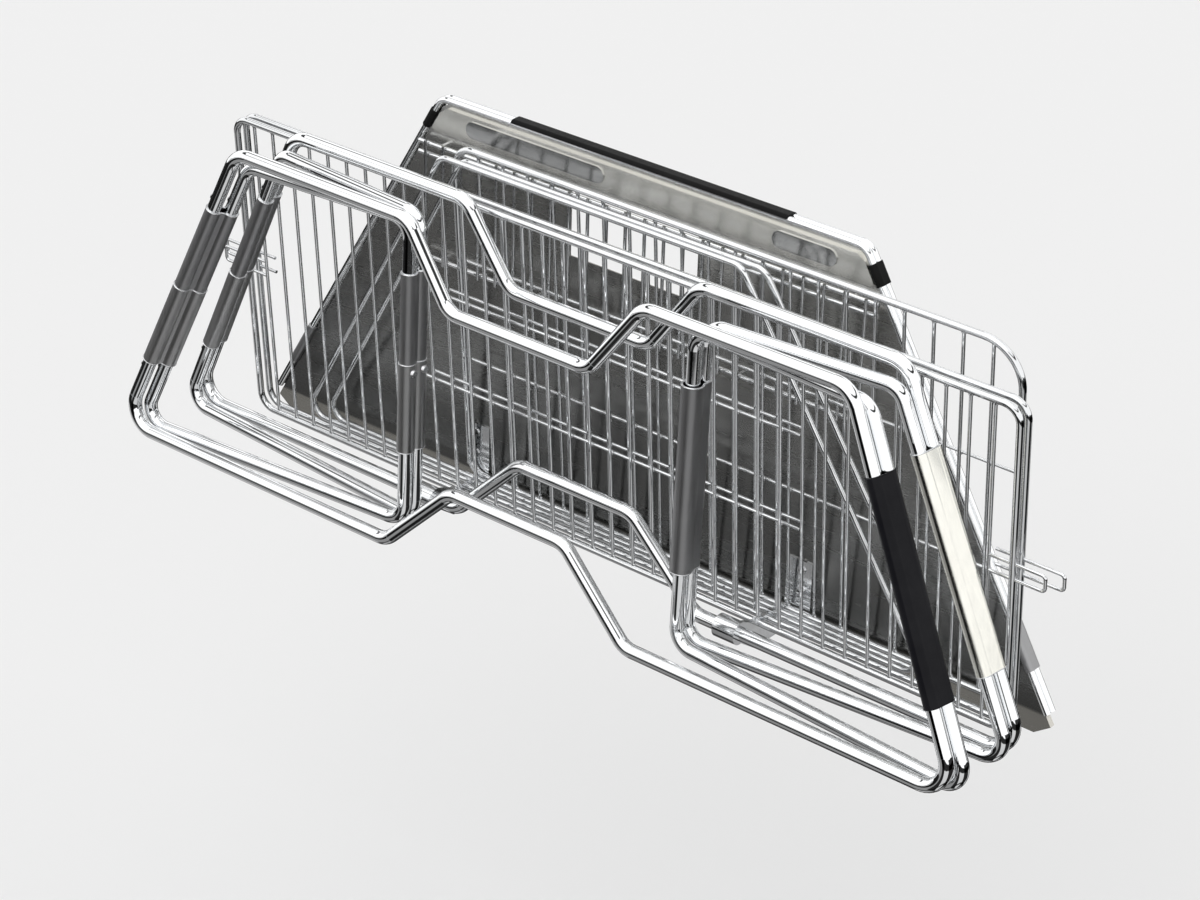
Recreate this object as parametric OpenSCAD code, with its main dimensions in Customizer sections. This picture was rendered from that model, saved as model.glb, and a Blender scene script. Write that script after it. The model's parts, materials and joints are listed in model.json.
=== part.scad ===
// Wall-mounted fold-down drying rack, stored upright against the wall.
// A slanted tube frame swings down from two wall arms. A second frame folds
// out of it on four gussets, and four wire shelves stand behind them.
// +X is along the wall, +Y points to the wall, +Z is up. The origin is the
// centre of the four wall holes, on the wall's face.

/* [Tube] */
// Outside diameter of the frames' tube
tube_d = 12; // [9:0.5:12.4]
// Radius of the frames' outer corner bends, on the tube's centre line
corner_r = 22; // [16:1:30]
// Radius of the notch bends
notch_r = 20; // [14:1:26]
// Radius of the gussets' corner bends
gusset_r = 17; // [13:1:22]

/* [Frames] */
// Half length of a frame's top rail, to the corner point
top_half = 317; // [290:1:340]
// Half length of a frame's bottom rail, to the corner point
bottom_half = 450; // [425:1:480]
// Height of a frame between its rails' centre lines
frame_h = 293; // [270:1:320]
// Half width of the notch in the top rail, at its mouth
notch_mouth = 122; // [112:1:130]
// Half width of the notch in the top rail, at its floor
notch_floor = 73; // [60:1:84]
// Depth of the notch in the top rail
notch_drop = 67; // [50:1:80]
// Half width of the arch in the bottom rail, at its foot
arch_foot = 130; // [118:1:136]
// Half width of the arch in the bottom rail, at its head
arch_head = 61; // [50:1:75]
// Height of the arch in the bottom rail
arch_rise = 68; // [50:1:80]
// Height of the rails' hinge line below the wall holes' centre
rail_drop = 145; // [130:1:165]
// Distance of the rear frame from the wall
frame_reach = 89; // [84:1:110]
// Sideways play taken up by the front frame
front_shift = 6; // [0:0.5:8]

/* [Gussets] */
// Distance of a gusset's inner tube from the middle
gusset_inner = 148; // [140:1:165]
// How far a gusset's top rail lies below the frame's
gusset_drop = 14; // [8:1:24]
// Distance between a frame's tube and the gusset's tube beside it, along Y
pair_pitch = 13; // [12.8:0.1:16]
// How far the frame's slanted tube stands outboard of the gusset's
pair_offset = 3; // [0:0.5:5]
// Distance between the two gusset tubes in a middle sleeve
mid_pitch = 13; // [12.8:0.1:16]
// How far each gusset stands open from its frame, in degrees
rest_open = 4.7; // [3.5:0.1:8]

/* [Sleeves] */
// Wall of the folded sheet sleeves
sleeve_wall = 1; // [0.8:0.1:1.6]
// Extra radius of the lower left sleeves
sleeve_step = 0.6; // [0.3:0.1:1]
// Radial clearance of a tube that turns in a sleeve or bearing
run_fit = 0.06; // [0.03:0.01:0.1]
// Height of the sleeves' lower ends above the bottom rail
sleeve_low = 68; // [55:1:80]
// Height of the sleeves' upper ends above the bottom rail
sleeve_high = 232; // [215:1:245]
// Slack of the front gusset's tube in the right middle sleeve
mid_slack = 2.2; // [1.5:0.1:2.6]
// Diameter of the stop rivets' shanks
rivet_d = 3; // [2:0.5:4]
// Diameter of the stop rivets' heads
rivet_head_d = 6; // [5:0.5:8]
// Height of the stop rivets' heads
rivet_head_h = 1.6; // [1:0.1:2.5]
// Diameter of the middle rivets' heads, at the sleeve
mid_rivet_d = 8; // [6:0.5:9]
// Depth of a rivet's shank in its tube
rivet_depth = 5; // [3:0.5:8]
// Distance of a stop rivet below its sleeve
rivet_gap = 9; // [7:0.5:14]

/* [Wire shelves] */
// Half length of the two long shelves
shelf_half = 407; // [380:1:420]
// Height of the two long shelves
shelf_h = 293; // [280:1:310]
// Diameter of a shelf's rim wire
rim_wire = 6; // [4.5:0.5:6.4]
// Diameter of a shelf's bars
bar_wire = 3; // [2.6:0.2:4]
// Diameter of a shelf's cross wires
cross_wire = 2.8; // [2.4:0.2:3.6]
// Distance between a long shelf's bars
bar_pitch = 22; // [18:0.5:26]
// Corner radius of the long shelves
shelf_r = 15; // [8:1:20]
// Half length of the barred middle part of the second long shelf
barred_half = 198; // [150:1:230]
// Half length of the first long shelf's cross wires
cross_half = 205; // [150:1:240]
// Forward lean of all the shelves, in degrees
lean = 4.37; // [3:0.1:5]
// Height of the shelves' bottom wires below the hinge line
shelf_sink = 12; // [10:1:14]
// Distance of the front long shelf's foot from the wall
shelf_a_y = 49; // [48:0.5:52]
// Distance of the second long shelf's foot from the wall
shelf_b_y = 38; // [37:0.5:40]
// Left end of the short shelf
short_left = -181; // [-190:1:-176]
// Right end of the short shelf
short_right = 386; // [360:1:392]
// Height of the short shelf
short_h = 322; // [300:1:330]
// Distance between the short shelf's bars
short_pitch = 27.5; // [22:0.5:34]
// Large corner radius of the short shelf
short_r = 36; // [20:1:40]
// Distance of the short shelf's foot from the wall
short_y = 14.2; // [14:0.1:14.8]
// How far the front long shelf's end loops reach past its rim
loop_reach_a = 29; // [20:1:40]
// How far the second long shelf's end loops reach past its rim
loop_reach_b = 39; // [24:1:44]
// Spacing of an end loop's two wires
loop_w = 14; // [10:1:20]
// Diameter of the end loops' wire
loop_wire = 3; // [2.6:0.2:4]

/* [Loop stand] */
// Diameter of the loop stand's wire
stand_wire = 5; // [4:0.5:5.4]
// Half length of the loop stand's top wires
stand_top = 158; // [140:1:175]
// Height of the loop stand
stand_h = 315; // [300:1:325]
// Middle of the front loop
stand_front_x = -25; // [-35:1:-15]
// Middle of the rear loop
stand_rear_x = -7; // [-15:1:5]
// Distance of the front loop's foot from the wall
stand_front_y = 29; // [28.5:0.1:29.5]
// Distance of the rear loop's foot from the wall
stand_rear_y = 22; // [21.6:0.1:22.4]
// Corner radius of the loops
stand_r = 14; // [10:1:20]
// Slope of the loops' sides and of the wall panel's sides, in degrees
side_slope = 30.6; // [27:0.1:33]

/* [Wall panel] */
// Half length of the panel's top edge
panel_top = 218; // [205:1:230]
// Height of the panel's top edge above the hinge line
panel_high = 328; // [320:1:345]
// Depth of the panel's bottom edge below the hinge line
panel_low = 32; // [24:1:34]
// Length of the cuts across the panel's top corners
top_cut = 5; // [4:0.5:8]
// Length of the cuts across the panel's bottom corners
bottom_cut = 21; // [10:1:26]
// Thickness of the panel's sheet
sheet_t = 1.2; // [0.8:0.1:2]
// Distance of the panel's front face from the wall
panel_y = 9; // [8.6:0.1:9.4]
// Diameter of the two rim tubes
rim_d = 6; // [5:0.5:6.2]
// Distance between the two rim tubes, along Y
rim_pitch = 6.5; // [6.3:0.1:6.8]
// Corner radius of the rim tubes
rim_r = 14; // [10:1:18]
// Depth of the rim tubes' ends below the hinge line
rim_low = 9; // [4:1:12]
// Height of the band under the top rim
band_h = 30; // [24:1:36]
// How far the band stands in front of the panel
band_out = 3; // [2:0.5:4]
// Height of the grip's lower edges above the rim tubes' centre lines
grip_edge = 1.2; // [0.6:0.1:2]
// Length of the grip
grip_l = 286; // [220:1:320]
// Middle of the grip
grip_x = 3; // [-10:1:10]
// Outside diameter of the grip and of the rim's sleeves
grip_d = 8; // [7:0.1:8.2]
// Distance of the rim tubes from the wall
rim_stand = 1.2; // [1.1:0.1:2]
// Width of the window
window_w = 134; // [100:1:160]
// Height of the window
window_h = 64; // [50:1:80]
// Middle of the window
window_x = -10; // [-20:1:10]
// Distance of the window's top below the band
window_gap = 4; // [2:1:8]
// Length of the rim tubes' foot sleeves
foot_sleeve_l = 42; // [24:1:50]
// Height of the foot sleeves above the rim tubes' ends
foot_gap = 32; // [20:1:40]
// Distance of the corner caps' lower ends below the panel's top
cap_low = 25; // [20:1:40]
// Distance of the corner caps' upper ends below the panel's top
cap_high = 9; // [9:1:14]

/* [Upper grate] */
// Half length of the grate fixed to the panel
grate_half = 240; // [220:1:242]
// Length of the grate's bars
grate_h = 106; // [80:1:112]
// Distance between the grate's bars
grate_pitch = 20; // [16:0.5:26]
// Spacing of the grate's two top rails
grate_gap = 10; // [8:0.5:14]
// Diameter of the grate's rails
grate_rail = 4; // [3:0.5:4.4]
// Diameter of the grate's bars
grate_bar = 3; // [2:0.5:3.2]
// Distance of the grate from the wall
grate_y = 17; // [16.8:0.1:17.4]

/* [Wall fixing] */
// Distance between the wall holes along X
hole_span_x = 360; // [300:1:380]
// Distance between the wall holes along Z
hole_span_z = 220; // [180:1:240]
// Diameter of the wall holes
hole_d = 5.5; // [4:0.5:7]
// Diameter of the spacers behind the panel
spacer_d = 18; // [14:1:24]

/* [Arms] */
// Distance of the arms from the middle
arm_x = 166; // [150:1:168]
// Thickness of an arm's plate
arm_t = 5; // [4:0.5:6]
// Depth of an arm below the shelves' wires
arm_drop = 20; // [14:1:26]
// Depth of the notches that hold the shelves
notch_deep = 9; // [7:0.5:11]
// Clearance around a wire in its notch, each side
notch_fit = 0.4; // [0.3:0.05:0.6]
// Outside diameter of a hinge bearing
bearing_d = 20; // [17:1:24]
// Length of a hinge bearing
bearing_l = 22; // [16:1:26]
// Width of an arm's foot flange
flange_w = 26; // [24:1:34]
// Height of an arm's foot flange
flange_h = 44; // [40:1:60]
// Thickness of an arm's foot flange
flange_t = 1.5; // [1:0.1:1.6]
// Diameter of the arm screws
arm_screw_d = 5; // [4:0.5:6]

/* [Hidden] */
$fn = 48;

base_z = -rail_drop;
tube_r = tube_d / 2;
slant = atan((bottom_half - top_half) / frame_h);
dome_r = (pow(rivet_head_d / 2, 2) + pow(rivet_head_h, 2)) / (2 * rivet_head_h);
weld = 0.4;
eps = 0.5;
run_in = 0.5;
bend_swell = 0.1;

// Places of the gusset folds
gusset_y = -frame_reach - pair_pitch;
gusset_outer = bottom_half - pair_offset;
gusset_h = frame_h - gusset_drop;
apex_h = (gusset_outer - gusset_inner) / tan(slant);
lean_in = asin(sin(slant) * cos(slant) * (1 - cos(rest_open)));
half_fold = asin(sin(slant) * sin(rest_open) / cos(lean_in));
fold_normal = [0, -cos(half_fold), sin(half_fold)];
fold_point = [0, gusset_y, base_z + apex_h] + fold_normal * mid_pitch / 2;

// Places on the wall panel
panel_bottom = panel_top + (panel_high + panel_low) * tan(side_slope);
band_z = base_z + panel_high - band_h;
rim_rear_y = -rim_d / 2 - rim_stand;
rim_front_y = rim_rear_y - rim_pitch;
rim_out = grip_d / 2 - weld;
rim_top = panel_high + rim_out;
rim_low_half = panel_bottom - (panel_low - rim_low) * tan(side_slope)
    + rim_out / cos(side_slope);
lip_depth = 5;
shelf_z = base_z - shelf_sink;
cross_levels = [0.36, 0.66];

// ---------------------------------------------------------------- helpers

function unit(v) = v / norm(v);
function bend_turn(a, b, c) =
    let (u = unit(b - a), v = unit(c - b))
    atan2(u.x * v.y - u.y * v.x, u * v);

// A round rod bent through points in the XY plane, r[i] being bend i's radius.
// The bends are a hair thicker and the straights run a little way into them.
module bent_rod(pts, r, d, closed = true) {
    n = len(pts);
    turns = [for (i = [0:n - 1])
        bend_turn(pts[(i + n - 1) % n], pts[i], pts[(i + 1) % n])];
    cuts = [for (i = [0:n - 1])
        (closed || (i > 0 && i < n - 1)) ? r[i] * tan(abs(turns[i]) / 2) : 0];
    for (i = [0:n - 1]) {
        j = (i + 1) % n;
        along = unit(pts[j] - pts[i]);
        if (closed || i < n - 1)
            translate(concat(pts[i] + along * (cuts[i] - run_in), 0))
                rotate([0, 0, atan2(along.y, along.x)])
                    rotate([0, 90, 0])
                        cylinder(d = d, h = norm(pts[j] - pts[i]) - cuts[i] - cuts[j]
                            + 2 * run_in);
        if (cuts[j] > 0) {
            side = sign(turns[j]);
            start = pts[j] - along * cuts[j];
            centre = start + side * r[j] * [-along.y, along.x];
            first = atan2(start.y - centre.y, start.x - centre.x);
            translate(concat(centre, 0))
                rotate([0, 0, side > 0 ? first : first - abs(turns[j])])
                    rotate_extrude(angle = abs(turns[j]), $fn = 96)
                        translate([r[j], 0])
                            circle(d = d + bend_swell);
        }
    }
}

// Stands a drawing in the XY plane up against a plane of constant Y
module upright(y, z = base_z) {
    translate([0, y, z])
        rotate([90, 0, 0])
            children();
}

module on_side(side) {
    if (side > 0) children();
    else mirror([1, 0, 0]) children();
}

// The front half of the folding set is the rear half's mirror image
module front_half() {
    translate(fold_point)
        mirror(fold_normal)
            translate(-fold_point)
                children();
}

// Opens a right-hand gusset about its slanted tube
module opened() {
    translate([gusset_outer, gusset_y, base_z])
        rotate(a = rest_open, v = [-sin(slant), 0, cos(slant)])
            translate([-gusset_outer, 0, 0])
                children();
}

// Right-hand place at height h on the gusset's slanted tube, Z along the tube
module on_slant(h) {
    translate([gusset_outer - h * tan(slant), gusset_y, base_z + h])
        rotate([0, -slant, 0])
            children();
}

// Right-hand place of the middle fold, Z along the rear gusset's inner tube
module on_mid(h) {
    translate([gusset_inner, gusset_y, base_z + apex_h])
        rotate([-half_fold, 0, 0])
            rotate([0, -lean_in, 0])
                translate([0, 0, h - apex_h])
                    children();
}

// ----------------------------------------------------------- frame shapes

module frame_loop(y, dx) {
    top = frame_h;
    floor_z = frame_h - notch_drop;
    half = [[top_half, top], [bottom_half, 0], [arch_foot, 0], [arch_head, arch_rise],
        [-arch_head, arch_rise], [-arch_foot, 0], [-bottom_half, 0], [-top_half, top],
        [-notch_mouth, top], [-notch_floor, floor_z], [notch_floor, floor_z],
        [notch_mouth, top]];
    radii = [corner_r, corner_r, notch_r, notch_r, notch_r, notch_r,
        corner_r, corner_r, notch_r, notch_r, notch_r, notch_r];
    translate([dx, 0, 0])
        upright(y)
            bent_rod(half, radii, tube_d);
}

module gusset_loop() {
    opened()
        rotate([90, 0, 0])
            bent_rod([[gusset_outer, 0], [gusset_outer - gusset_h * tan(slant), gusset_h],
                [gusset_inner, gusset_h], [gusset_inner, 0]],
                [gusset_r, gusset_r, gusset_r, gusset_r], tube_d);
}

// A sleeve around two parallel tubes, one at the origin and one at p.
// waist is the half width of the sheet between them.
module sleeve(p, len, r0, r1, wall, waist) {
    turn = atan2(p.y, p.x);
    linear_extrude(len)
        difference() {
            union() {
                circle(r = r0 + wall);
                translate(p) circle(r = r1 + wall);
                rotate(turn) translate([0, -waist]) square([norm(p), 2 * waist]);
            }
            circle(r = r0);
            translate(p) circle(r = r1);
            rotate(turn)
                translate([0, wall - waist])
                    square([norm(p), 2 * (waist - wall)]);
        }
}

// A sleeve between a gusset's slanted tube, which turns in it, and the frame's.
// dx is the frame tube's offset along X, from low to high above the bottom rail.
module slant_sleeve(dx, low, high, wall, waist) {
    on_slant(low)
        sleeve([dx * cos(slant), pair_pitch], (high - low) / cos(slant),
            tube_r + run_fit, tube_r, wall, waist);
}

// A dome-headed rivet, its shank going rivet_depth deep below a tube's skin
module rivet() {
    translate([0, 0, tube_r - rivet_depth])
        cylinder(d = rivet_d, h = rivet_depth);
    translate([0, 0, tube_r])
        intersection() {
            translate([0, 0, rivet_head_h - dome_r]) sphere(r = dome_r);
            cylinder(d = rivet_head_d, h = rivet_head_h);
        }
}

module rivet_hole() {
    translate([0, 0, tube_r - rivet_depth])
        cylinder(d = rivet_d, h = rivet_depth + tube_r);
}

// Places on a slanted tube just below its sleeve, Z pointing outboard
module rivet_place(dx, dy) {
    on_slant(sleeve_low - rivet_gap)
        translate([dx * cos(slant), dy, 0])
            rotate([0, 90, 0])
                children();
}

waist_flat = tube_r + sleeve_wall - 0.1;
waist_pinched = tube_r - 1.5;
split_h = (sleeve_low + sleeve_high) / 2;
left_front_dx = pair_offset + front_shift;
right_front_dx = pair_offset - front_shift;

// -------------------------------------------------------------- rear half

module rear_frame() {
    color("silver")
        difference() {
            frame_loop(-frame_reach, 0);
            on_side(-1) rivet_place(pair_offset, pair_pitch) rivet_hole();
        }
}

module rear_sleeve_right() {
    color("ivory")
        slant_sleeve(pair_offset, sleeve_low, sleeve_high, sleeve_wall, waist_flat);
}

module rear_sleeve_left_upper() {
    color("darkgray")
        on_side(-1)
            slant_sleeve(pair_offset, split_h, sleeve_high, sleeve_wall, waist_pinched);
}

module rear_sleeve_left_lower() {
    color("gray")
        on_side(-1)
            slant_sleeve(pair_offset, sleeve_low, split_h, sleeve_wall + sleeve_step,
                waist_pinched);
}

module rear_frame_rivet() {
    color("dimgray")
        on_side(-1) rivet_place(pair_offset, pair_pitch) rivet();
}

module rear_gusset_left() {
    color("silver")
        on_side(-1)
            difference() {
                gusset_loop();
                rivet_place(0, 0) rivet_hole();
            }
}

module rear_gusset_rivet() {
    color("dimgray")
        on_side(-1) rivet_place(0, 0) rivet();
}

module rear_gusset_right() {
    color("silver") gusset_loop();
}

// ---------------------------------------------------------- middle sleeves

module mid_sleeve(low, high, front_clear, wall, waist) {
    on_mid(low)
        sleeve([0, -mid_pitch], high - low, tube_r + run_fit, tube_r + front_clear, wall,
            waist);
}

module mid_rivet_places() {
    for (y = [0, -mid_pitch])
        on_mid(split_h - mid_rivet_d)
            translate([0, y, 0])
                rotate([0, -90, 0])
                    translate([0, 0, tube_r + run_fit + sleeve_wall + sleeve_step - weld])
                        children();
}

module mid_sleeve_left_upper() {
    color("darkgray")
        on_side(-1) mid_sleeve(split_h, sleeve_high, run_fit, sleeve_wall, waist_pinched);
}

module mid_sleeve_left_lower() {
    color("gray")
        on_side(-1)
            mid_sleeve(sleeve_low, split_h, run_fit, sleeve_wall + sleeve_step,
                waist_pinched);
}

module mid_sleeve_rivets() {
    color("dimgray")
        on_side(-1)
            mid_rivet_places()
                cylinder(d1 = mid_rivet_d, d2 = rivet_head_d, h = rivet_head_h + weld);
}

module mid_sleeve_right() {
    color("darkgray")
        mid_sleeve(sleeve_low, sleeve_high, mid_slack, sleeve_wall, waist_flat);
}

// ------------------------------------------------------------- front half

module front_gusset_left() {
    color("silver")
        front_half()
            on_side(-1)
                difference() {
                    gusset_loop();
                    rivet_place(0, 0) rivet_hole();
                }
}

module front_gusset_rivet() {
    color("dimgray")
        front_half() on_side(-1) rivet_place(0, 0) rivet();
}

module front_gusset_right() {
    color("silver") front_half() gusset_loop();
}

module front_frame() {
    color("silver")
        front_half()
            difference() {
                frame_loop(-frame_reach, -front_shift);
                on_side(-1) rivet_place(left_front_dx, pair_pitch) rivet_hole();
            }
}

module front_sleeve_right() {
    color([0.1, 0.1, 0.11])
        front_half()
            slant_sleeve(right_front_dx, sleeve_low, sleeve_high, sleeve_wall, waist_flat);
}

module front_sleeve_left_upper() {
    color("darkgray")
        front_half()
            on_side(-1)
                slant_sleeve(left_front_dx, split_h, sleeve_high, sleeve_wall,
                    waist_pinched);
}

module front_sleeve_left_lower() {
    color("gray")
        front_half()
            on_side(-1)
                slant_sleeve(left_front_dx, sleeve_low, split_h,
                    sleeve_wall + sleeve_step, waist_pinched);
}

module front_frame_rivet() {
    color("dimgray")
        front_half() on_side(-1) rivet_place(left_front_dx, pair_pitch) rivet();
}

// ------------------------------------------------------------ wire shelves

// Stands a shelf drawn in the XY plane on its foot line, leaning forward
module leaning(y) {
    translate([0, -y, shelf_z])
        rotate([90 + lean, 0, 0])
            children();
}

module wire_rim(left, right, h, radii) {
    bent_rod([[left, 0], [right, 0], [right, h], [left, h]], radii, rim_wire);
}

// Bars from wire to wire, spread evenly at about the wanted pitch
module wire_bars(left, right, h, pitch, d) {
    count = round((right - left) / pitch);
    for (i = [1:count - 1])
        translate([left + (right - left) * i / count, 0, 0])
            rotate([-90, 0, 0])
                cylinder(d = d, h = h);
}

// Cross wires behind the bars, at two heights
module wire_crosses(left, right, h) {
    for (level = cross_levels)
        translate([left, h * level, -(bar_wire + cross_wire) / 2 + weld])
            rotate([0, 90, 0])
                cylinder(d = cross_wire, h = right - left);
}

// A loop of wire past each end of a long shelf, for the hand
module end_loops(reach) {
    mid = shelf_h * 0.51;
    for (side = [-1, 1])
        on_side(side)
            bent_rod([[shelf_half - bar_pitch, mid + loop_w / 2],
                [shelf_half + reach, mid + loop_w / 2],
                [shelf_half + reach, mid - loop_w / 2],
                [shelf_half - bar_pitch, mid - loop_w / 2]],
                [0, loop_w / 4, loop_w / 4, 0], loop_wire, closed = false);
}

long_radii = [shelf_r, shelf_r, shelf_r, shelf_r];
short_radii = [shelf_r, shelf_r, short_r, short_r * 0.6];

module shelf_a_rim() {
    color("silver") leaning(shelf_a_y) wire_rim(-shelf_half, shelf_half, shelf_h, long_radii);
}

module shelf_a_bars() {
    color("lightgray")
        leaning(shelf_a_y) wire_bars(-shelf_half, shelf_half, shelf_h, bar_pitch, bar_wire);
}

module shelf_a_cross_wires() {
    color("lightgray") leaning(shelf_a_y) wire_crosses(-cross_half, cross_half, shelf_h);
}

module shelf_a_end_loops() {
    color("silver") leaning(shelf_a_y) end_loops(loop_reach_a);
}

module shelf_b_rim() {
    color("silver") leaning(shelf_b_y) wire_rim(-shelf_half, shelf_half, shelf_h, long_radii);
}

module shelf_b_bars() {
    color("lightgray")
        leaning(shelf_b_y) wire_bars(-barred_half, barred_half, shelf_h, bar_pitch, bar_wire);
}

module shelf_b_cross_wires() {
    color("lightgray") leaning(shelf_b_y) wire_crosses(-barred_half, barred_half, shelf_h);
}

module shelf_b_end_loops() {
    color("silver") leaning(shelf_b_y) end_loops(loop_reach_b);
}

module short_shelf_rim() {
    color("silver") leaning(short_y) wire_rim(short_left, short_right, short_h, short_radii);
}

module short_shelf_bars() {
    color("lightgray")
        leaning(short_y) wire_bars(short_left, short_right, short_h, short_pitch, bar_wire);
}

module short_shelf_cross_wires() {
    color("lightgray") leaning(short_y) wire_crosses(short_left, short_right, short_h);
}

// -------------------------------------------------------------- loop stand

stand_spread = stand_top + stand_h * tan(side_slope);
stand_radii = [stand_r, stand_r, stand_r, stand_r];

module stand_loop(middle) {
    bent_rod([[middle - stand_spread, 0], [middle + stand_spread, 0],
        [middle + stand_top, stand_h], [middle - stand_top, stand_h]],
        stand_radii, stand_wire);
}

module stand_loop_front() {
    color("silver") leaning(stand_front_y) stand_loop(stand_front_x);
}

module stand_loop_rear() {
    color("silver") leaning(stand_rear_y) stand_loop(stand_rear_x);
}

// Short ties that join the two loops
module stand_ties() {
    color("silver")
        leaning(stand_front_y)
            for (x = [-0.7, 0.7] * stand_top, z = [0, stand_h])
                translate([x, z, stand_rear_y - stand_front_y])
                    cylinder(d = bar_wire, h = stand_front_y - stand_rear_y);
}

// -------------------------------------------------------------- wall panel

// The panel's outline between two heights, drawn in by inset all round. Each
// corner is cut across: low_cut along the bottom edge, high_cut along the top.
module panel_outline(low, high, inset, low_cut, high_cut) {
    half = function (z) panel_bottom - (z + panel_low) * tan(side_slope)
        - inset / cos(side_slope);
    foot = low + inset;
    head = high - inset;
    right = [[half(foot) - low_cut, foot], [half(foot + low_cut / 2), foot + low_cut / 2],
        [half(head - high_cut), head - high_cut], [half(head) - high_cut, head]];
    polygon(concat(right, [for (i = [3:-1:0]) [-right[i].x, right[i].y]]));
}

module panel_sheet(front, thick, low, high, inset, low_cut = bottom_cut) {
    upright(-front + thick)
        linear_extrude(thick)
            panel_outline(low, high, inset, low_cut, top_cut);
}

module hole_places() {
    for (x = [-1, 1], z = [-1, 1])
        translate([x * hole_span_x / 2, 0, z * hole_span_z / 2])
            rotate([90, 0, 0])
                children();
}

module arm_screw_places() {
    for (side = [-1, 1], z = [6, 26])
        on_side(side)
            translate([arm_x + flange_w / 2, -panel_y, base_z + z])
                rotate([90, 0, 0])
                    children();
}

module wall_panel() {
    window_top = band_z - window_gap;
    color([0.82, 0.81, 0.78])
        difference() {
            union() {
                panel_sheet(panel_y, sheet_t, -panel_low, panel_high, 0);
                difference() {
                    panel_sheet(panel_y - eps, lip_depth, -panel_low, panel_high, 0);
                    panel_sheet(panel_y, panel_y, -panel_low, panel_high, sheet_t);
                }
                hole_places() cylinder(d = spacer_d, h = panel_y - eps);
            }
            hole_places()
                translate([0, 0, -eps])
                    cylinder(d = hole_d, h = panel_y + 2 * eps);
            translate([window_x - window_w / 2, -panel_y - eps, window_top - window_h])
                cube([window_w, sheet_t + 2 * eps, window_h]);
            arm_screw_places()
                translate([0, 0, -sheet_t - eps])
                    cylinder(d = arm_screw_d, h = sheet_t + 2 * eps);
        }
}

// Folded band along the top of the panel
module panel_band() {
    color([0.74, 0.73, 0.7])
        panel_sheet(panel_y + band_out, band_out, panel_high - band_h, panel_high - 2, 2, top_cut);
}

// Long rounded ribs on the band
module band_ribs() {
    rib_w = band_h * 0.5;
    rib_z = base_z + panel_high - band_h / 2;
    color([0.35, 0.35, 0.37])
        for (span = [[-0.84, -0.22], [0.64, 0.86]] * panel_top)
            translate([0, -panel_y - band_out, rib_z])
                rotate([90, 0, 0])
                    linear_extrude(sheet_t)
                        rib_shape(span[0], span[1], rib_w);
}

module rib_shape(from, to, w) {
    translate([from, -w / 2]) square([to - from, w]);
    for (x = [from, to])
        translate([x, 0]) circle(d = w);
}

// A rim tube up one side of the panel, along the top and down the other
module rim(y) {
    top_x = rim_low_half - (rim_top + rim_low) * tan(side_slope);
    upright(y)
        bent_rod([[-rim_low_half, -rim_low], [-top_x, rim_top], [top_x, rim_top],
            [rim_low_half, -rim_low]], [0, rim_r, rim_r, 0], rim_d, closed = false);
}

module rim_rear() {
    color("silver") rim(rim_rear_y);
}

module rim_front() {
    color("silver") rim(rim_front_y);
}

// A sleeve that holds the two rim tubes together
module rim_sleeve(len) {
    wall = (grip_d - rim_d) / 2;
    sleeve([0, -rim_pitch], len, rim_d / 2, rim_d / 2, wall, grip_d / 2 - 0.1);
}

// The grip sits on top of the two rim tubes like a saddle
module rim_grip() {
    color([0.05, 0.05, 0.05])
        translate([grip_x - grip_l / 2, rim_rear_y, base_z + rim_top])
            rotate([0, 90, 0])
                linear_extrude(grip_l)
                    difference() {
                        union() {
                            circle(d = grip_d);
                            translate([0, -rim_pitch]) circle(d = grip_d);
                            translate([-grip_d / 2, -rim_pitch]) square([grip_d / 2, rim_pitch]);
                        }
                        circle(d = rim_d);
                        translate([0, -rim_pitch]) circle(d = rim_d);
                        translate([-grip_edge, -rim_pitch - grip_d])
                            square([grip_d, rim_pitch + 2 * grip_d]);
                    }
}

// A sleeve on each side of the rim, from low to high above the hinge line
module rim_side_sleeves(low, high) {
    for (side = [-1, 1])
        on_side(side)
            translate([rim_low_half - (low + rim_low) * tan(side_slope), rim_rear_y,
                base_z + low])
                rotate([0, -side_slope, 0])
                    rim_sleeve((high - low) / cos(side_slope));
}

module rim_corner_caps() {
    color([0.08, 0.08, 0.08]) rim_side_sleeves(panel_high - cap_low, panel_high - cap_high);
}

module rim_foot_sleeves() {
    color("gray") rim_side_sleeves(foot_gap - rim_low, foot_gap - rim_low + foot_sleeve_l);
}

// ------------------------------------------------------------- upper grate

grate_top = panel_high - band_h - grate_rail * 2;
grate_levels = [0, grate_gap, grate_h];

module grate_rails() {
    color("silver")
        for (drop = grate_levels)
            translate([-grate_half, -grate_y, base_z + grate_top - drop])
                rotate([0, 90, 0])
                    cylinder(d = grate_rail, h = 2 * grate_half);
}

module grate_bars() {
    count = round(2 * grate_half / grate_pitch);
    color("lightgray")
        for (i = [0:count - 1])
            translate([(i + 0.5 - count / 2) * 2 * grate_half / count,
                -grate_y - (grate_rail + grate_bar) / 2 + weld,
                base_z + grate_top - grate_h - grate_bar])
                cylinder(d = grate_bar, h = grate_h + 2 * grate_bar);
}

module grate_studs() {
    color("silver")
        for (x = [-0.9, -0.45, 0.45, 0.9] * grate_half, drop = [0, grate_h])
            translate([x, -panel_y, base_z + grate_top - drop])
                rotate([90, 0, 0])
                    cylinder(d = grate_bar, h = grate_y - panel_y);
}

// -------------------------------------------------------------------- arms

arm_low = -shelf_sink - arm_drop;
tooth_top = -shelf_sink - rim_wire / 2 - notch_fit + notch_deep;

// Slot for a shelf's bottom wire, along the shelf's own lean
module shelf_notch(y, wire) {
    r = wire / 2 + notch_fit;
    leaning(y)
        translate([arm_x - arm_t, 0, 0])
            rotate([90, 0, 90])
                linear_extrude(2 * arm_t) {
                    circle(r = r);
                    translate([0, -r]) square([2 * notch_deep, 2 * r]);
                }
}

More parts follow.
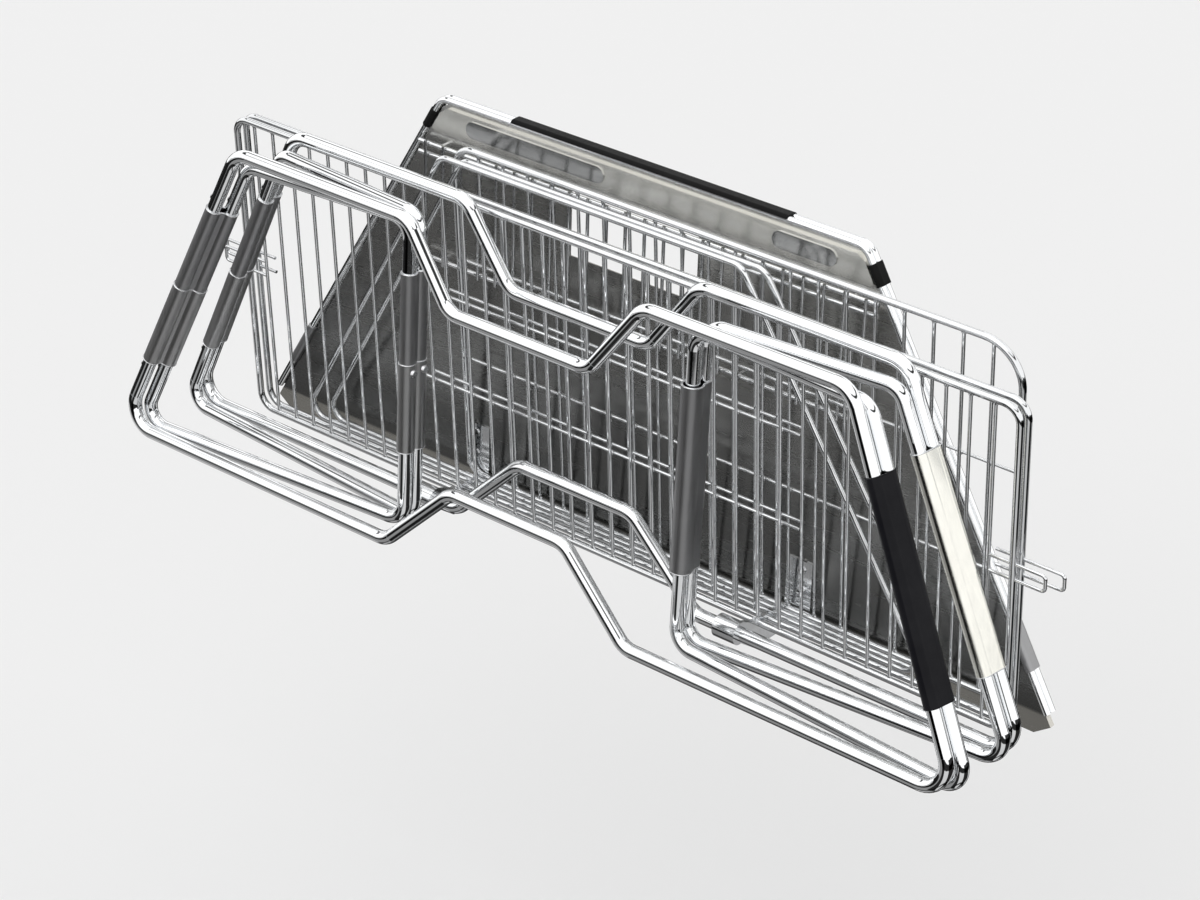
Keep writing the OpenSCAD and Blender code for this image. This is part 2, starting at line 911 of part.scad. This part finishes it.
module arm() {
    difference() {
        union() {
            translate([arm_x - arm_t / 2, 0, base_z])
                rotate([90, 0, 90])
                    linear_extrude(arm_t)
                        polygon([[-panel_y, tooth_top], [-panel_y, arm_low],
                            [-shelf_a_y - 8, arm_low], [-frame_reach - 5, -6],
                            [-frame_reach, 6], [-shelf_a_y - 8, tooth_top]]);
            translate([arm_x - bearing_l / 2, -frame_reach, base_z])
                rotate([0, 90, 0])
                    cylinder(d = bearing_d, h = bearing_l);
            translate([arm_x - arm_t / 2, -panel_y - flange_t, base_z - rim_low])
                cube([flange_w, flange_t, flange_h]);
        }
        translate([arm_x - bearing_l, -frame_reach, base_z])
            rotate([0, 90, 0])
                cylinder(r = tube_r + run_fit, h = 2 * bearing_l);
        shelf_notch(shelf_a_y, rim_wire);
        shelf_notch(shelf_b_y, rim_wire);
        shelf_notch(stand_front_y, stand_wire);
        shelf_notch(stand_rear_y, stand_wire);
        shelf_notch(short_y, rim_wire);
        for (z = [6, 26])
            translate([arm_x + flange_w / 2, -panel_y + eps, base_z + z])
                rotate([90, 0, 0])
                    cylinder(d = arm_screw_d, h = flange_t + 2 * eps);
    }
}

module arm_left() {
    color("silver") on_side(-1) arm();
}

module arm_right() {
    color("silver") arm();
}

module arm_screws() {
    color("dimgray")
        arm_screw_places() {
            translate([0, 0, -sheet_t]) cylinder(d = arm_screw_d, h = sheet_t + flange_t);
            translate([0, 0, flange_t]) cylinder(d = 1.6 * arm_screw_d, h = 1.2);
        }
}

wall_panel();
panel_band();
band_ribs();
rim_rear();
rim_front();
rim_grip();
rim_corner_caps();
rim_foot_sleeves();
grate_rails();
grate_bars();
grate_studs();
arm_left();
arm_right();
arm_screws();
rear_frame();
rear_sleeve_right();
rear_sleeve_left_upper();
rear_sleeve_left_lower();
rear_frame_rivet();
rear_gusset_left();
rear_gusset_rivet();
rear_gusset_right();
mid_sleeve_left_upper();
mid_sleeve_left_lower();
mid_sleeve_rivets();
mid_sleeve_right();
front_gusset_left();
front_gusset_rivet();
front_gusset_right();
front_frame();
front_sleeve_right();
front_sleeve_left_upper();
front_sleeve_left_lower();
front_frame_rivet();
shelf_a_rim();
shelf_a_bars();
shelf_a_cross_wires();
shelf_a_end_loops();
shelf_b_rim();
shelf_b_bars();
shelf_b_cross_wires();
shelf_b_end_loops();
short_shelf_rim();
short_shelf_bars();
short_shelf_cross_wires();
stand_loop_front();
stand_loop_rear();
stand_ties();
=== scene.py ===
"""Looks for the wall-mounted fold-down drying rack: chrome tube, wire and sheet."""

import json
import math

import bmesh
import bpy
from mathutils import Matrix, Vector


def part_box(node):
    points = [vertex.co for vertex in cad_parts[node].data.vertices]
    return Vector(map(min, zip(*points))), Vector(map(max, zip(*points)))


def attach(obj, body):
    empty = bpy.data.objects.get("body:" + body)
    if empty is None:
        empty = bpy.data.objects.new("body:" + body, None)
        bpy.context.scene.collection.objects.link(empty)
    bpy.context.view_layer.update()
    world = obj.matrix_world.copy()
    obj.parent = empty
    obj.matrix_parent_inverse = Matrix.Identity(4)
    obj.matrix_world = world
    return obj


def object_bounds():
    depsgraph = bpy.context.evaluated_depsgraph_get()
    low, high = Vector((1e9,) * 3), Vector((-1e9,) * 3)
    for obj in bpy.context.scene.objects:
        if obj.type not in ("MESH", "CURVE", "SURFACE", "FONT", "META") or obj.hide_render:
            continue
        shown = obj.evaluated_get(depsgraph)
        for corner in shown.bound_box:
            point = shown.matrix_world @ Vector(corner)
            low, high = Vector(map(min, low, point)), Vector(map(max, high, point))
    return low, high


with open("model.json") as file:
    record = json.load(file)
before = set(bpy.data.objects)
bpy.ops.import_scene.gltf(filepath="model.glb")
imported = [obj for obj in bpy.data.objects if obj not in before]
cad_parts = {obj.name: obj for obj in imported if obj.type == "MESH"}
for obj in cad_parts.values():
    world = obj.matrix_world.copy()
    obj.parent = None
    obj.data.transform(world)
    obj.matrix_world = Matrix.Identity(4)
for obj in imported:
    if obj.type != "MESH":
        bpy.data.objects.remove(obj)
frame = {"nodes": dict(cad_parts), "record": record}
cad_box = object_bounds()
nodes = frame["nodes"]

# ------------------------------------------------------------------ view

VIEW_AZIMUTH = math.radians(38.92)
VIEW_ELEVATION = math.radians(28.35)
VIEW_ROLL = math.radians(1.61)
VIEW_DISTANCE = 2.537
VIEW_TARGET = Vector((0.0853, -0.1629, 0.0203))
LENS_MM = 96.9
SENSOR_MM = 36.0


def add_camera():
    """A camera that looks at the target from the view's angles, rolled a little."""
    sin_a, cos_a = math.sin(VIEW_AZIMUTH), math.cos(VIEW_AZIMUTH)
    sin_e, cos_e = math.sin(VIEW_ELEVATION), math.cos(VIEW_ELEVATION)
    back = Vector((sin_a * cos_e, -cos_a * cos_e, sin_e))
    right = Vector((cos_a, sin_a, 0.0))
    up = back.cross(right)
    rolled_right = right * math.cos(VIEW_ROLL) + up * math.sin(VIEW_ROLL)
    rolled_up = up * math.cos(VIEW_ROLL) - right * math.sin(VIEW_ROLL)
    data = bpy.data.cameras.new("camera")
    data.lens = LENS_MM
    data.sensor_width = SENSOR_MM
    camera = bpy.data.objects.new("camera", data)
    camera.matrix_world = Matrix.Translation(VIEW_TARGET + back * VIEW_DISTANCE) @ Matrix(
        (rolled_right, rolled_up, back)
    ).transposed().to_4x4()
    bpy.context.collection.objects.link(camera)
    bpy.context.scene.camera = camera


add_camera()

# ------------------------------------------------------------- materials

# Noise hovers round a half, so its middle part is stretched over the whole range
NOISE_LOW = 0.3
NOISE_HIGH = 0.7
TONE_SCALE = 14.0
SKIN_SCALE = 30.0
SKIN_GRAIN = 400.0


def new_material(name):
    """A fresh node material, with its tree and its main shader."""
    material = bpy.data.materials.new(name)
    material.use_nodes = True
    tree = material.node_tree
    return material, tree, tree.nodes["Principled BSDF"]


def object_noise(tree, scale, detail=4.0, stretch=(1.0, 1.0, 1.0), rough=0.6):
    """Noise in the object's own space, optionally stretched along an axis."""
    place = tree.nodes.new("ShaderNodeTexCoord")
    mapping = tree.nodes.new("ShaderNodeMapping")
    mapping.inputs["Scale"].default_value = stretch
    noise = tree.nodes.new("ShaderNodeTexNoise")
    noise.inputs["Scale"].default_value = scale
    noise.inputs["Detail"].default_value = detail
    noise.inputs["Roughness"].default_value = rough
    tree.links.new(place.outputs["Object"], mapping.inputs["Vector"])
    tree.links.new(mapping.outputs["Vector"], noise.inputs["Vector"])
    return noise.outputs["Fac"]


def remap(tree, value, low, high):
    """The value's middle part spread from low to high."""
    node = tree.nodes.new("ShaderNodeMapRange")
    node.inputs["From Min"].default_value = NOISE_LOW
    node.inputs["From Max"].default_value = NOISE_HIGH
    node.inputs["To Min"].default_value = low
    node.inputs["To Max"].default_value = high
    tree.links.new(value, node.inputs["Value"])
    return node.outputs["Result"]


def two_tone(tree, value, dark, light):
    """A colour between dark and light, by the value's middle part."""
    ramp = tree.nodes.new("ShaderNodeValToRGB")
    ramp.color_ramp.elements[0].position = NOISE_LOW
    ramp.color_ramp.elements[0].color = (*dark, 1.0)
    ramp.color_ramp.elements[1].position = NOISE_HIGH
    ramp.color_ramp.elements[1].color = (*light, 1.0)
    tree.links.new(value, ramp.inputs["Fac"])
    return ramp.outputs["Color"]


def add_bump(tree, shader, value, strength, distance):
    bump = tree.nodes.new("ShaderNodeBump")
    bump.inputs["Strength"].default_value = strength
    bump.inputs["Distance"].default_value = distance
    tree.links.new(value, bump.inputs["Height"])
    tree.links.new(bump.outputs["Normal"], shader.inputs["Normal"])


def mixed(tree, factor, first, second, blend="MIX"):
    """The two colours blended by factor."""
    node = tree.nodes.new("ShaderNodeMix")
    node.data_type = "RGBA"
    node.blend_type = blend
    if isinstance(factor, float):
        node.inputs[0].default_value = factor
    else:
        tree.links.new(factor, node.inputs[0])
    for socket, colour in zip(node.inputs[6:8], (first, second)):
        if isinstance(colour, tuple):
            socket.default_value = colour
        else:
            tree.links.new(colour, socket)
    return node.outputs[2]


def metal(name, dark, light, smooth, dull, grain=260.0, stretch=(1, 1, 1), bump=0.1, lift=0.00004):
    """A metal whose colour and polish drift a little over its surface."""
    material, tree, shader = new_material(name)
    shader.inputs["Metallic"].default_value = 1.0
    tone = two_tone(tree, object_noise(tree, TONE_SCALE), dark, light)
    tree.links.new(tone, shader.inputs["Base Color"])
    polish = object_noise(tree, grain, stretch=stretch)
    tree.links.new(remap(tree, polish, smooth, dull), shader.inputs["Roughness"])
    add_bump(tree, shader, polish, bump, lift)
    return material


def gloss(name, dark, light, smooth, dull, shine):
    """A glossy painted or moulded skin."""
    material, tree, shader = new_material(name)
    tone = two_tone(tree, object_noise(tree, SKIN_SCALE), dark, light)
    tree.links.new(tone, shader.inputs["Base Color"])
    polish = object_noise(tree, SKIN_GRAIN)
    tree.links.new(remap(tree, polish, smooth, dull), shader.inputs["Roughness"])
    shader.inputs["Specular IOR Level"].default_value = shine
    add_bump(tree, shader, polish, 0.15, 0.00005)
    return material


# The panel's tone by height above its foot, in metres: a pale folded strip in its own colour,
# then a painted shadow and painted reflection of the rails darkening the sheet, clearing upwards
PANEL_TONES_AND_SHADE = (
    (0.0, (0.66, 0.64, 0.59)),
    (0.018, (0.66, 0.64, 0.59)),
    (0.020, (0.19, 0.19, 0.185)),
    (0.10, (0.28, 0.28, 0.275)),
    (0.22, (0.48, 0.475, 0.46)),
    (0.30, (0.64, 0.635, 0.61)),
)
PANEL_DRIFT = 0.88


def panel_metal(name, smooth, dull):
    """Satin sheet, cut from brushed stock, with painted shadow and shade darkening its lower part.
    """
    material, tree, shader = new_material(name)
    shader.inputs["Metallic"].default_value = 1.0
    place = tree.nodes.new("ShaderNodeTexCoord")
    split = tree.nodes.new("ShaderNodeSeparateXYZ")
    tree.links.new(place.outputs["Object"], split.inputs["Vector"])
    low, high = (corner[2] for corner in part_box("wall_panel"))
    height = tree.nodes.new("ShaderNodeMapRange")
    height.inputs["From Min"].default_value = low
    height.inputs["From Max"].default_value = high
    tree.links.new(split.outputs["Z"], height.inputs["Value"])
    # Painted shadow and painted shade by height, above the pale strip's own colour
    ramp = tree.nodes.new("ShaderNodeValToRGB")
    stops = ramp.color_ramp.elements
    stops.remove(stops[1])
    stops[0].color = (*PANEL_TONES_AND_SHADE[0][1], 1.0)
    for above, tone in PANEL_TONES_AND_SHADE[1:]:
        stops.new(above / (high - low)).color = (*tone, 1.0)
    tree.links.new(height.outputs["Result"], ramp.inputs["Fac"])
    clouds = object_noise(tree, 5.0, detail=2.0, stretch=(1.0, 1.0, 0.25))
    drift = two_tone(tree, clouds, (PANEL_DRIFT,) * 3, (1.0,) * 3)
    paint = mixed(tree, 1.0, ramp.outputs["Color"], drift, blend="MULTIPLY")
    tree.links.new(paint, shader.inputs["Base Color"])
    grain = object_noise(tree, 180.0, stretch=(0.04, 1.0, 1.0))
    tree.links.new(remap(tree, grain, smooth, dull), shader.inputs["Roughness"])
    add_bump(tree, shader, grain, 0.005, 0.00001)
    return material


ALONG_SLEEVE = (1, 1, 0.05)
ALONG_BAND = (0.05, 1, 1)

MATERIALS = {
    "tube": metal("tube_chrome", (0.84, 0.85, 0.86), (0.90, 0.91, 0.92), 0.03, 0.07),
    "wire": metal("wire_chrome", (0.70, 0.71, 0.72), (0.80, 0.81, 0.82), 0.05, 0.09, grain=500.0),
    "sleeve": metal("sleeve_satin", (0.34, 0.34, 0.345), (0.39, 0.39, 0.395), 0.36, 0.42,
                    stretch=ALONG_SLEEVE, bump=0.03),
    "sleeve_lower": metal("sleeve_lower_satin", (0.40, 0.40, 0.40), (0.45, 0.45, 0.45), 0.34, 0.40,
                          stretch=ALONG_SLEEVE, bump=0.03),
    # The front right sleeve's near black is a painted dark reflection on its polished face
    "dark_sleeve": gloss("sleeve_painted_dark_reflection", (0.006, 0.006, 0.008), (0.012, 0.012, 0.014),
                         0.06, 0.12, shine=0.08),
    "cream_sleeve": metal("cream_sleeve_satin", (0.80, 0.79, 0.73), (0.86, 0.85, 0.79), 0.16, 0.24,
                          stretch=ALONG_SLEEVE, bump=0.03),
    "panel": panel_metal("panel_satin", 0.26, 0.28),
    "band": metal("band_satin", (0.84, 0.83, 0.78), (0.90, 0.89, 0.84), 0.24, 0.27,
                  stretch=ALONG_BAND, bump=0.015),
    # The pressed ribs are the band's own sheet, painted darker as shade on the pressed relief
    "rib": metal("rib_satin_painted_shade", (0.46, 0.46, 0.455), (0.52, 0.52, 0.515), 0.14, 0.18, bump=0.02),
    "grip": gloss("grip_black", (0.006, 0.006, 0.006), (0.012, 0.012, 0.012), 0.35, 0.5, shine=0.05),
    "rivet": metal("rivet_steel", (0.60, 0.60, 0.61), (0.72, 0.72, 0.73), 0.1, 0.2, grain=900.0),
    "arm": metal("arm_chrome", (0.70, 0.71, 0.72), (0.80, 0.81, 0.82), 0.08, 0.16),
}


def dress_nodes():
    """Each CAD node's material slot filled with the material of its name."""
    slots = {part["node"]: part["material_slot"] for part in frame["record"]["subparts"]}
    for name, piece in nodes.items():
        for slot in piece.material_slots:
            slot.material = MATERIALS[slots[name]]


dress_nodes()

# --------------------------------------------------------------- details

JOIN_DISTANCE = 1e-6
SLEEVE_EDGE = 0.0004
# Faces that turn by more than this, in radians, meet in a crease
CREASE = 0.02
# A face is square to an axis when the cosine between them is above this
SQUARE = 0.999
BEAD = 0.0026
# How far a bead stands off its wire's middle, as a share of the wire
BEAD_STAND = 0.45
# Screw heads are wider than this, and shanks aren't
SCREW_HEAD = 0.006
RECESS_REACH = 0.3
RECESS_WIRE = 0.0005


def curve_piece(name, loops, radius, body, slot, closed=True):
    """Round wire of the given radius along each loop of points."""
    data = bpy.data.curves.new(name, "CURVE")
    data.dimensions = "3D"
    data.bevel_depth = radius
    data.bevel_resolution = 3
    for points in loops:
        spline = data.splines.new("POLY")
        spline.points.add(len(points) - 1)
        for target, point in zip(spline.points, points):
            target.co = (*point, 1.0)
        spline.use_cyclic_u = closed
        spline.use_smooth = True
    data.materials.append(MATERIALS[slot])
    piece = bpy.data.objects.new(name, data)
    bpy.context.collection.objects.link(piece)
    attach(piece, body)
    return piece


def welded(mesh):
    """A bmesh of the mesh, with the vertices that share a place joined."""
    bm = bmesh.new()
    bm.from_mesh(mesh)
    bmesh.ops.remove_doubles(bm, verts=bm.verts, dist=JOIN_DISTANCE)
    bm.normal_update()
    return bm


def long_axis(bm):
    """Direction of a prism's longest crease, pointing up."""
    creases = [e for e in bm.edges if e.calc_face_angle(0.0) > CREASE]
    longest = max(creases, key=lambda e: e.calc_length())
    axis = (longest.verts[0].co - longest.verts[1].co).normalized()
    return axis if axis.z > 0 else -axis


def end_loops(mesh):
    """The loops of edges round a prism's two flat ends, as lists of points."""
    bm = welded(mesh)
    axis = long_axis(bm)
    ends = {face for face in bm.faces if abs(face.normal.dot(axis)) > SQUARE}
    rims = [e for e in bm.edges
            if len(e.link_faces) == 2 and len(ends & set(e.link_faces)) == 1]
    loops, left = [], dict.fromkeys(rims)
    while left:
        edge = next(iter(left))
        del left[edge]
        first, here = edge.verts
        points = [first.co.copy(), here.co.copy()]
        while here is not first:
            following = next((e for e in here.link_edges if e in left), None)
            if following is None:
                break
            del left[following]
            here = following.other_vert(here)
            points.append(here.co.copy())
        loops.append(points[:-1] if here is first else points)
    bm.free()
    return loops


def add_sleeve_edges():
    """A thin rolled edge round both ends of each folded sheet sleeve."""
    for body, parts in frame["record"]["behaviour"]["bodies"].items():
        for part in parts:
            if "sleeve" in part and not part.endswith("s"):
                # The front right sleeve's edges take its painted dark reflection too
                slot = "dark_sleeve" if part == "front_sleeve_right" else "arm"
                loops = end_loops(nodes[part].data)
                curve_piece(f"{part}_edge", loops, SLEEVE_EDGE, body, slot)


def beads(name, places, radius, body, slot, squash=0.6):
    """Small weld beads, flattened along Y, one at each place."""
    bm = bmesh.new()
    flat = Matrix.Diagonal((1.0, squash, 1.0, 1.0))
    for place in places:
        bmesh.ops.create_icosphere(bm, subdivisions=2, radius=radius,
                                   matrix=Matrix.Translation(place) @ flat)
    mesh = bpy.data.meshes.new(name)
    bm.to_mesh(mesh)
    bm.free()
    for polygon in mesh.polygons:
        polygon.use_smooth = True
    mesh.materials.append(MATERIALS[slot])
    piece = bpy.data.objects.new(name, mesh)
    bpy.context.collection.objects.link(piece)
    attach(piece, body)
    return piece


def islands(mesh):
    """Boxes of a mesh's loose pieces, as (low, high) corner pairs."""
    bm = welded(mesh)
    seen, found = set(), []
    for seed in bm.verts:
        if seed in seen:
            continue
        stack, group = [seed], []
        seen.add(seed)
        while stack:
            vert = stack.pop()
            group.append(vert.co.copy())
            for edge in vert.link_edges:
                other = edge.other_vert(vert)
                if other not in seen:
                    seen.add(other)
                    stack.append(other)
        found.append(([min(p[i] for p in group) for i in range(3)],
                      [max(p[i] for p in group) for i in range(3)]))
    bm.free()
    return found


def add_weld_beads():
    """Weld beads where each shelf's bars meet its rim and its cross wires."""
    for shelf in ("shelf_a", "shelf_b", "short_shelf"):
        places = []
        crossings = islands(nodes[f"{shelf}_cross_wires"].data)
        rim_low, rim_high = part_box(f"{shelf}_rim")
        for low, high in islands(nodes[f"{shelf}_bars"].data):
            x = (low[0] + high[0]) / 2
            thick = high[0] - low[0]
            foot = Vector((x, high[1] - thick / 2, low[2]))
            head = Vector((x, low[1] + thick / 2, high[2]))
            along = (head - foot).normalized()
            gap = (rim_high[2] - rim_low[2] - (high[2] - low[2])) / 2
            places += [foot + along * gap, head - along * gap]
            for start, stop in crossings:
                if start[0] <= x <= stop[0]:
                    level = (start[2] + stop[2]) / 2
                    share = (level - low[2]) / (high[2] - low[2])
                    places.append(foot.lerp(head, share) + Vector((0, thick * BEAD_STAND, 0)))
        beads(f"{shelf}_welds", places, BEAD, shelf, "wire")


def add_top_rivets():
    """Rivets just above the left sleeves, like the CAD's below them."""
    for side in ("rear", "front"):
        upper, lower = (nodes[f"{side}_sleeve_left_{part}"].data for part in ("upper", "lower"))
        bm = welded(upper)
        axis = long_axis(bm)
        bm.free()
        spans = [vertex.co.dot(axis) for mesh in (upper, lower) for vertex in mesh.vertices]
        for part, body in (("frame", f"{side}_frame"), ("gusset", f"{side}_gusset_left")):
            mesh = nodes[f"{side}_{part}_rivet"].data.copy()
            corners = [Vector(vertex.co) for vertex in mesh.vertices]
            middle = sum(corners, Vector()) / len(corners)
            rise = max(spans) + min(spans) - 2 * middle.dot(axis)
            mesh.transform(Matrix.Translation(axis * rise))
            mesh.materials.clear()
            mesh.materials.append(MATERIALS["rivet"])
            piece = bpy.data.objects.new(f"{side}_{part}_top_rivet", mesh)
            bpy.context.collection.objects.link(piece)
            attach(piece, body)


def add_screw_recess_shade():
    """A cross of painted shade on each arm screw's head, black bars where its recess would be."""
    bars = []
    for low, high in islands(nodes["arm_screws"].data):
        width = high[0] - low[0]
        if width < SCREW_HEAD:
            continue
        x, z, y = (low[0] + high[0]) / 2, (low[2] + high[2]) / 2, low[1]
        half = width * RECESS_REACH
        bars.append([(x - half, y, z), (x + half, y, z)])
        bars.append([(x, y, z - half), (x, y, z + half)])
    curve_piece("arm_screw_recess_shade", bars, RECESS_WIRE, "wall_unit", "grip", closed=False)


add_sleeve_edges()
add_weld_beads()
add_top_rivets()
add_screw_recess_shade()

# ----------------------------------------------------------------- stage

FLOOR_DROP = 0.45
STAGE_SIZE = 30.0
FLOOR_WHITE = (0.85, 0.85, 0.85)
WORLD_LIGHT = 0.84
MIRROR_LIGHT = 1.25
KEY_LIGHT = 0.7
KEY_SPREAD = math.radians(70)
KEY_TURN = (math.radians(30), math.radians(-14), math.radians(10))
# What mirrors see, as (height of the direction, -1 down to 1 up, brightness):
# white above with one thin dark band, a dark horizon, and a grey floor with a
# dark ring near its lowest point
HEIGHT_STOPS = (
    (-0.92, 0.5), (-0.90, 0.04), (-0.85, 0.04), (-0.83, 0.5),
    (-0.42, 0.55), (-0.40, 0.02), (-0.14, 0.02), (-0.12, 1.0),
    (0.58, 1.0), (0.60, 0.03), (0.69, 0.03), (0.71, 1.0),
)
# Below the horizon this multiplies it, by the direction's turn about Z, 0 to 1
# round from the wall
TURN_STOPS = (
    (0.0, 0.12), (0.20, 0.12), (0.22, 1.0), (0.29, 1.0), (0.31, 0.42),
    (0.43, 0.42), (0.435, 0.03), (0.525, 0.03), (0.53, 1.0), (0.69, 1.0),
    (0.70, 0.03), (0.89, 0.03), (0.90, 0.8), (0.97, 0.8), (0.98, 0.12),
)


def plain(name, colour):
    """A matt surface of one colour."""
    material, tree, shader = new_material(name)
    shader.inputs["Base Color"].default_value = (*colour, 1.0)
    shader.inputs["Roughness"].default_value = 0.9
    shader.inputs["Specular IOR Level"].default_value = 0.1
    return material


def add_floor():
    """A white floor well below the rack, which mirrors don't see."""
    z = cad_box[0][2] - FLOOR_DROP
    half = STAGE_SIZE / 2
    corners = [(-half, -half, z), (half, -half, z), (half, half, z), (-half, half, z)]
    mesh = bpy.data.meshes.new("floor")
    mesh.from_pydata(corners, [], [(0, 1, 2, 3)])
    mesh.materials.append(plain("floor_white", FLOOR_WHITE))
    floor = bpy.data.objects.new("floor", mesh)
    floor.visible_glossy = False
    bpy.context.collection.objects.link(floor)


def grey_ramp(tree, value, marks):
    """A brightness along 0 to 1, through the given (position, brightness) marks."""
    ramp = tree.nodes.new("ShaderNodeValToRGB")
    stops = ramp.color_ramp.elements
    for stop, (position, shade) in zip(stops, (marks[0], marks[-1])):
        stop.position = position
        stop.color = (shade, shade, shade, 1.0)
    for position, shade in marks[1:-1]:
        stops.new(position).color = (shade, shade, shade, 1.0)
    tree.links.new(value, ramp.inputs["Fac"])
    return ramp.outputs["Color"]


def math_node(tree, operation, *values):
    """The result of an operation on numbers or other nodes' outputs."""
    node = tree.nodes.new("ShaderNodeMath")
    node.operation = operation
    for socket, value in zip(node.inputs, values):
        if isinstance(value, float):
            socket.default_value = value
        else:
            tree.links.new(value, socket)
    return node.outputs["Value"]


def add_world():
    """Even white light, and for mirrors a white studio with dark bands in it."""
    world = bpy.data.worlds.new("studio")
    bpy.context.scene.world = world
    world.use_nodes = True
    tree = world.node_tree
    soft = tree.nodes["Background"]
    soft.inputs["Color"].default_value = (1.0, 1.0, 1.0, 1.0)
    soft.inputs["Strength"].default_value = WORLD_LIGHT
    place = tree.nodes.new("ShaderNodeTexCoord")
    split = tree.nodes.new("ShaderNodeSeparateXYZ")
    tree.links.new(place.outputs["Generated"], split.inputs["Vector"])
    height = math_node(tree, "MULTIPLY_ADD", split.outputs["Z"], 0.5, 0.5)
    by_height = grey_ramp(tree, height, [(z / 2 + 0.5, shade) for z, shade in HEIGHT_STOPS])
    outward = math_node(tree, "MULTIPLY", split.outputs["Y"], -1.0)
    angle = math_node(tree, "ARCTAN2", split.outputs["X"], outward)
    turn = math_node(tree, "MULTIPLY_ADD", angle, 0.5 / math.pi, 0.5)
    by_turn = grey_ramp(tree, turn, TURN_STOPS)
    low = math_node(tree, "LESS_THAN", split.outputs["Z"], 0.0)
    both = mixed(tree, low, by_height, by_turn, blend="MULTIPLY")
    mirror = tree.nodes.new("ShaderNodeBackground")
    mirror.inputs["Strength"].default_value = MIRROR_LIGHT
    tree.links.new(both, mirror.inputs["Color"])
    path = tree.nodes.new("ShaderNodeLightPath")
    mix = tree.nodes.new("ShaderNodeMixShader")
    tree.links.new(path.outputs["Is Glossy Ray"], mix.inputs["Fac"])
    tree.links.new(soft.outputs["Background"], mix.inputs[1])
    tree.links.new(mirror.outputs["Background"], mix.inputs[2])
    tree.links.new(mix.outputs["Shader"], tree.nodes["World Output"].inputs["Surface"])


def add_key():
    """A wide soft sun from above and in front."""
    sun = bpy.data.lights.new("key", "SUN")
    sun.energy = KEY_LIGHT
    sun.angle = KEY_SPREAD
    key = bpy.data.objects.new("key", sun)
    key.rotation_euler = KEY_TURN
    bpy.context.collection.objects.link(key)


add_floor()
add_world()
add_key()
bpy.context.scene.view_settings.view_transform = "Standard"
